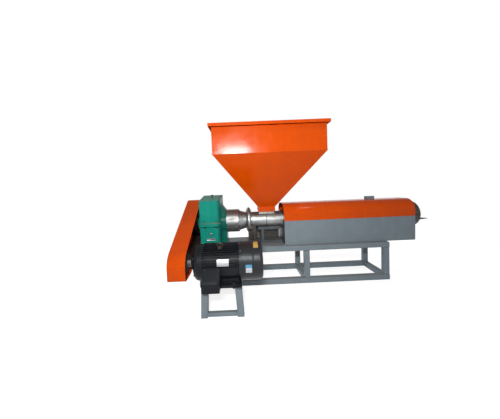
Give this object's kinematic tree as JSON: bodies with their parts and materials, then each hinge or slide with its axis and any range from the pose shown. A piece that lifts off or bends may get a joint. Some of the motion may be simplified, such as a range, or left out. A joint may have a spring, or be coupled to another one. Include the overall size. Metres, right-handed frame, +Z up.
{
  "type": "plastic pelletizing extruder",
  "caption": "Single-screw plastic pelletizing extruder: belt-driven gearbox, square feed hopper, covered barrel and die head on a welded tube frame.",
  "frame": {"origin": "on the floor, under the middle of the machine's bounding box", "axes": "+X along the screw from the drive end to the die end, -Y towards the motor, +Z up"},
  "size_m": [2.83, 1.414, 1.71],
  "materials": {
    "grey_paint": "satin grey-blue machine enamel",
    "motor_paint": "satin black enamel on castings",
    "machined_steel": "turned and ground steel",
    "dark_steel": "dark cast iron and blackened steel",
    "belt_rubber": "matt black rubber",
    "orange_paint": "gloss orange enamel on sheet steel",
    "green_paint": "gloss green enamel on cast iron"
  },
  "bodies": {
    "root": {"frame_long_rails": "grey_paint", "frame_end_rails": "grey_paint", "frame_legs": "grey_paint", "frame_cross_rails": "grey_paint", "deck_plate": "grey_paint", "motor_stand_legs": "grey_paint", "motor_stand_arms": "grey_paint", "motor_stand_rail": "grey_paint", "guard_brackets": "grey_paint", "barrel_base": "grey_paint", "barrel_stool": "grey_paint", "cover_sides": "grey_paint", "cover_floor": "grey_paint", "cover_ends": "grey_paint", "cover_bracket": "grey_paint", "motor_body": "motor_paint", "motor_drive_shield": "motor_paint", "motor_rear_shield": "motor_paint", "motor_fan_cowl": "motor_paint", "motor_fan": "motor_paint", "motor_terminal_box": "motor_paint", "motor_shaft": "machined_steel", "motor_lifting_eye": "machined_steel", "gearbox_input_shaft": "machined_steel", "thrust_housing": "machined_steel", "ring_flange": "machined_steel", "feed_section": "machined_steel", "feed_throat": "machined_steel", "feed_screw": "machined_steel", "barrel": "machined_steel", "die_plate": "machined_steel", "motor_pulley": "dark_steel", "gearbox_pulley": "dark_steel", "gearbox_breather": "dark_steel", "barrel_pedestal": "dark_steel", "die_head": "dark_steel", "head_lever": "dark_steel", "drive_belts": "belt_rubber", "guard_rim": "orange_paint", "guard_side": "orange_paint", "hopper_bin_walls": "orange_paint", "hopper_bin_ends": "orange_paint", "hopper_funnel_walls": "orange_paint", "hopper_funnel_ends": "orange_paint", "hopper_neck": "orange_paint", "hopper_rim": "orange_paint", "cover_arch": "orange_paint", "gearbox_lower_case": "green_paint", "gearbox_upper_case": "green_paint", "gearbox_bearing_caps": "green_paint"}
  },
  "joints": []
}
